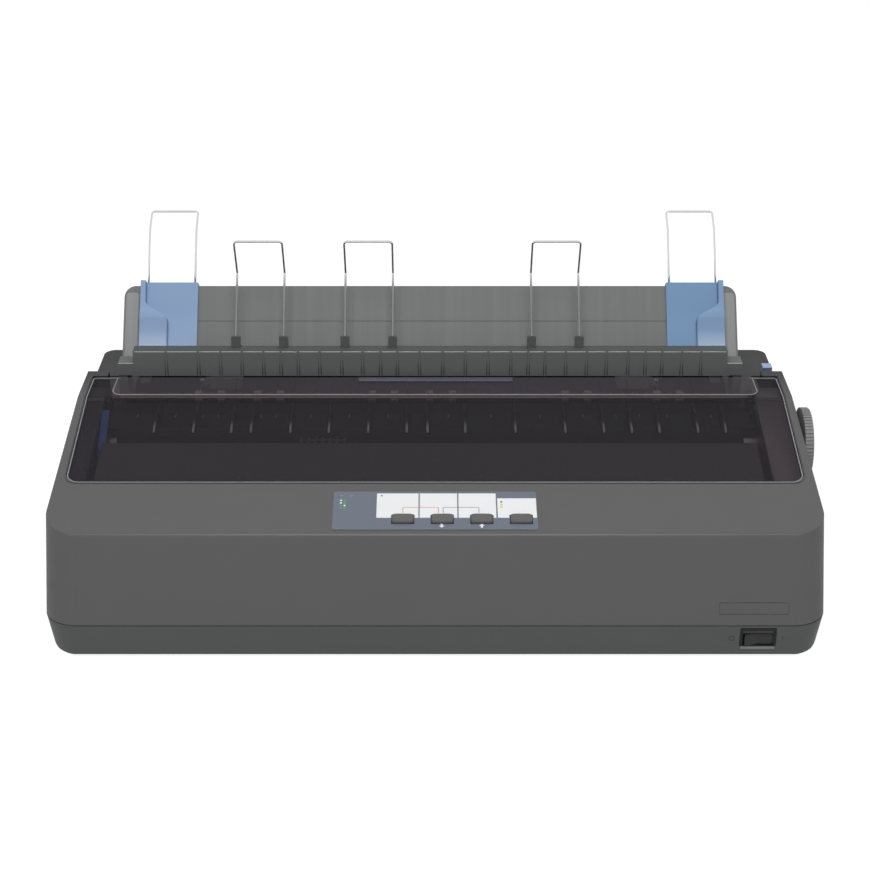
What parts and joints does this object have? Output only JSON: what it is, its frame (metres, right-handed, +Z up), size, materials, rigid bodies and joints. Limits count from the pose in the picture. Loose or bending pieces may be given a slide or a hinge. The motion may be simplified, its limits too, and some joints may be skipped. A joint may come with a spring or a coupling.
{
  "type": "dot matrix printer",
  "caption": "Wide desktop impact printer with a hinged smoke-clear lid, platen knob, key panel, and a leaning sheet guide with sliding edge guides and wire supports.",
  "frame": {"origin": "middle of the footprint on the floor", "axes": "+X to the right seen from the front, +Y from the front to the back, +Z up"},
  "size_m": [0.604, 0.3396, 0.25],
  "materials": {
    "upper_plastic": "fine matt, dark grey",
    "lower_plastic": "fine matt, darker grey",
    "black_plastic": "matt black",
    "grey_plastic": "matt mid grey",
    "white_plastic": "moulded, off-white",
    "blue_plastic": "satin, light blue",
    "dark_blue_plastic": "satin, dark blue",
    "rubber_black": "matt rubber",
    "smoke_clear": "smoke-tinted clear plastic",
    "clear_strip": "clear plastic",
    "foam": "black foam",
    "zinc_sheet": "zinc-plated sheet",
    "steel_rod": "ground steel",
    "wire_chrome": "bright chrome wire",
    "motor_steel": "dull grey",
    "brass": "turned brass",
    "head_metal": "dark cast",
    "label_film": "printed film",
    "button_plastic": "matt grey",
    "board_green": "lacquered board",
    "supply_paint": "varnished winding and board"
  },
  "bodies": {
    "case": {"lower_case": "lower_plastic", "upper_case": "upper_plastic", "feet": "rubber_black", "case_screws": "zinc_sheet", "chassis": "zinc_sheet", "side_frame_left": "zinc_sheet", "side_frame_right": "zinc_sheet", "shaft_bushes": "white_plastic", "guide_rod": "steel_rod", "timing_belt": "rubber_black", "carriage_motor": "motor_steel", "feed_motor": "motor_steel", "inner_paper_guide": "black_plastic", "support_rod": "steel_rod", "ribbon_cartridge": "black_plastic", "ribbed_bar": "upper_plastic", "support_wires": "wire_chrome", "control_label": "label_film", "switch_housing": "black_plastic", "circuit_boards": "board_green", "power_supply": "supply_paint", "rear_sockets": "black_plastic"},
    "lid": {"printer_cover": "smoke_clear", "exit_strip": "clear_strip", "sound_pad": "foam"},
    "sheet_guide": {"sheet_guide": "grey_plastic"},
    "edge_guide_left": {"edge_guide_left": "blue_plastic", "guide_wire_left": "wire_chrome"},
    "edge_guide_right": {"edge_guide_right": "blue_plastic", "guide_wire_right": "wire_chrome"},
    "platen": {"platen": "rubber_black", "platen_shaft": "steel_rod", "platen_gear": "white_plastic", "platen_knob": "grey_plastic"},
    "motor_pinion": {"motor_pinion": "brass"},
    "front_idler_gear": {"front_idler_gear": "white_plastic"},
    "rear_idler_gear": {"rear_idler_gear": "white_plastic"},
    "tractor_shaft": {"tractor_shaft": "steel_rod", "tractor_gear": "white_plastic"},
    "exit_rollers": {"exit_rollers": "rubber_black"},
    "carriage": {"carriage": "black_plastic", "print_head": "head_metal"},
    "drive_pulley": {"drive_pulley": "white_plastic"},
    "idler_pulley": {"idler_pulley": "white_plastic"},
    "ribbon_knob": {"ribbon_knob": "black_plastic"},
    "tractor_left": {"tractor_frame_left": "black_plastic"},
    "tractor_right": {"tractor_frame_right": "black_plastic"},
    "tractor_cover_left": {"tractor_cover_left": "black_plastic"},
    "tractor_cover_right": {"tractor_cover_right": "black_plastic"},
    "pin_wheel_left": {"pin_wheel_left": "white_plastic"},
    "pin_wheel_right": {"pin_wheel_right": "white_plastic"},
    "tractor_lock_left": {"tractor_lock_left": "blue_plastic"},
    "tractor_lock_right": {"tractor_lock_right": "blue_plastic"},
    "button_1": {"button_1": "button_plastic"},
    "button_2": {"button_2": "button_plastic"},
    "button_3": {"button_3": "button_plastic"},
    "button_4": {"button_4": "button_plastic"},
    "power_rocker": {"power_rocker": "black_plastic"},
    "release_lever": {"release_lever": "blue_plastic"},
    "thickness_lever": {"thickness_lever": "dark_blue_plastic"}
  },
  "joints": [
    {"name": "lid_hinge", "type": "hinge", "parent": "case", "child": "lid", "pos_m": [0, 0.04, 0.1331], "axis": [-1, 0, 0], "range_deg": [0, 95]},
    {"name": "guide_tilt", "type": "hinge", "parent": "case", "child": "sheet_guide", "pos_m": [-0.004, 0.073, 0.138], "axis": [-1, 0, 0], "range_deg": [0, 30]},
    {"name": "edge_left_slide", "type": "slide", "parent": "sheet_guide", "child": "edge_guide_left", "axis": [1, 0, 0], "range_m": [0, 0.12]},
    {"name": "edge_right_slide", "type": "slide", "parent": "sheet_guide", "child": "edge_guide_right", "axis": [1, 0, 0], "range_m": [-0.26, 0]},
    {"name": "platen_spin", "type": "hinge", "parent": "case", "child": "platen", "pos_m": [0, -0.014, 0.109], "axis": [1, 0, 0], "continuous": true},
    {"name": "pinion_spin", "type": "hinge", "parent": "case", "child": "motor_pinion", "pos_m": [-0.279, 0.02219, 0.06942], "axis": [1, 0, 0], "continuous": true},
    {"name": "front_idler_spin", "type": "hinge", "parent": "case", "child": "front_idler_gear", "pos_m": [-0.279, 0.01783, 0.09416], "axis": [1, 0, 0], "continuous": true},
    {"name": "rear_idler_spin", "type": "hinge", "parent": "case", "child": "rear_idler_gear", "pos_m": [-0.279, 0.05272, 0.08481], "axis": [1, 0, 0], "continuous": true},
    {"name": "tractor_spin", "type": "hinge", "parent": "case", "child": "tractor_shaft", "pos_m": [0, 0.08471, 0.09338], "axis": [1, 0, 0], "continuous": true},
    {"name": "exit_spin", "type": "hinge", "parent": "case", "child": "exit_rollers", "pos_m": [0, 0.032, 0.13], "axis": [1, 0, 0], "continuous": true},
    {"name": "carriage_slide", "type": "slide", "parent": "case", "child": "carriage", "axis": [1, 0, 0], "range_m": [-0.128, 0.298]},
    {"name": "drive_pulley_spin", "type": "hinge", "parent": "case", "child": "drive_pulley", "pos_m": [0.245, -0.0726, 0.076], "axis": [0, 0, 1], "range_deg": [-2700, 1300]},
    {"name": "idler_pulley_spin", "type": "hinge", "parent": "case", "child": "idler_pulley", "pos_m": [-0.255, -0.0726, 0.076], "axis": [0, 0, 1], "range_deg": [-2700, 1300]},
    {"name": "ribbon_knob_spin", "type": "hinge", "parent": "case", "child": "ribbon_knob", "pos_m": [-0.235, -0.0835, 0.105], "axis": [0, 0, 1], "continuous": true},
    {"name": "tractor_left_slide", "type": "slide", "parent": "case", "child": "tractor_left", "axis": [1, 0, 0], "range_m": [-0.03, 0.08]},
    {"name": "tractor_right_slide", "type": "slide", "parent": "case", "child": "tractor_right", "axis": [1, 0, 0], "range_m": [-0.1, 0.03]},
    {"name": "tractor_cover_left_hinge", "type": "hinge", "parent": "tractor_left", "child": "tractor_cover_left", "pos_m": [-0.1985, 0.098, 0.11345], "axis": [0, -1, 0], "range_deg": [0, 60]},
    {"name": "tractor_cover_right_hinge", "type": "hinge", "parent": "tractor_right", "child": "tractor_cover_right", "pos_m": [0.1885, 0.098, 0.11345], "axis": [0, 1, 0], "range_deg": [0, 60]},
    {"name": "pin_wheel_left_spin", "type": "hinge", "parent": "tractor_left", "child": "pin_wheel_left", "pos_m": [-0.175, 0.08471, 0.09338], "axis": [1, 0, 0], "continuous": true},
    {"name": "pin_wheel_right_spin", "type": "hinge", "parent": "tractor_right", "child": "pin_wheel_right", "pos_m": [0.165, 0.08471, 0.09338], "axis": [1, 0, 0], "continuous": true},
    {"name": "tractor_lock_left_hinge", "type": "hinge", "parent": "tractor_left", "child": "tractor_lock_left", "pos_m": [-0.203, 0.10671, 0.07988], "axis": [-1, 0, 0], "range_deg": [0, 35]},
    {"name": "tractor_lock_right_hinge", "type": "hinge", "parent": "tractor_right", "child": "tractor_lock_right", "pos_m": [0.193, 0.10671, 0.07988], "axis": [-1, 0, 0], "range_deg": [0, 35]},
    {"name": "button_1_press", "type": "slide", "parent": "case", "child": "button_1", "axis": [0, 0.1994, -0.9799], "range_m": [0, 0.0012], "stiffness_N_per_m": 400},
    {"name": "button_2_press", "type": "slide", "parent": "case", "child": "button_2", "axis": [0, 0.1994, -0.9799], "range_m": [0, 0.0012], "stiffness_N_per_m": 400},
    {"name": "button_3_press", "type": "slide", "parent": "case", "child": "button_3", "axis": [0, 0.1994, -0.9799], "range_m": [0, 0.0012], "stiffness_N_per_m": 400},
    {"name": "button_4_press", "type": "slide", "parent": "case", "child": "button_4", "axis": [0, 0.1994, -0.9799], "range_m": [0, 0.0012], "stiffness_N_per_m": 400},
    {"name": "rocker_tilt", "type": "hinge", "parent": "case", "child": "power_rocker", "pos_m": [0.2465, -0.16474, 0.0165], "axis": [0, 0, 1], "range_deg": [-14, 0]},
    {"name": "release_lever_hinge", "type": "hinge", "parent": "case", "child": "release_lever", "pos_m": [0.283, 0.067, 0.098], "axis": [-1, 0, 0], "range_deg": [0, 15]},
    {"name": "thickness_lever_hinge", "type": "hinge", "parent": "case", "child": "thickness_lever", "pos_m": [-0.268, -0.044, 0.088], "axis": [-1, 0, 0], "range_deg": [0, 8]}
  ],
  "couplings": [
    {"joint": "pinion_spin", "follows": "platen_spin", "ratio": 2.4286},
    {"joint": "front_idler_spin", "follows": "platen_spin", "ratio": -0.94444},
    {"joint": "rear_idler_spin", "follows": "platen_spin", "ratio": 0.94444},
    {"joint": "tractor_spin", "follows": "platen_spin", "ratio": -1.1333},
    {"joint": "pin_wheel_left_spin", "follows": "platen_spin", "ratio": -1.1333},
    {"joint": "pin_wheel_right_spin", "follows": "platen_spin", "ratio": -1.1333},
    {"joint": "drive_pulley_spin", "follows": "carriage_slide", "rad_per_m": -149.25},
    {"joint": "idler_pulley_spin", "follows": "carriage_slide", "rad_per_m": -149.25}
  ]
}
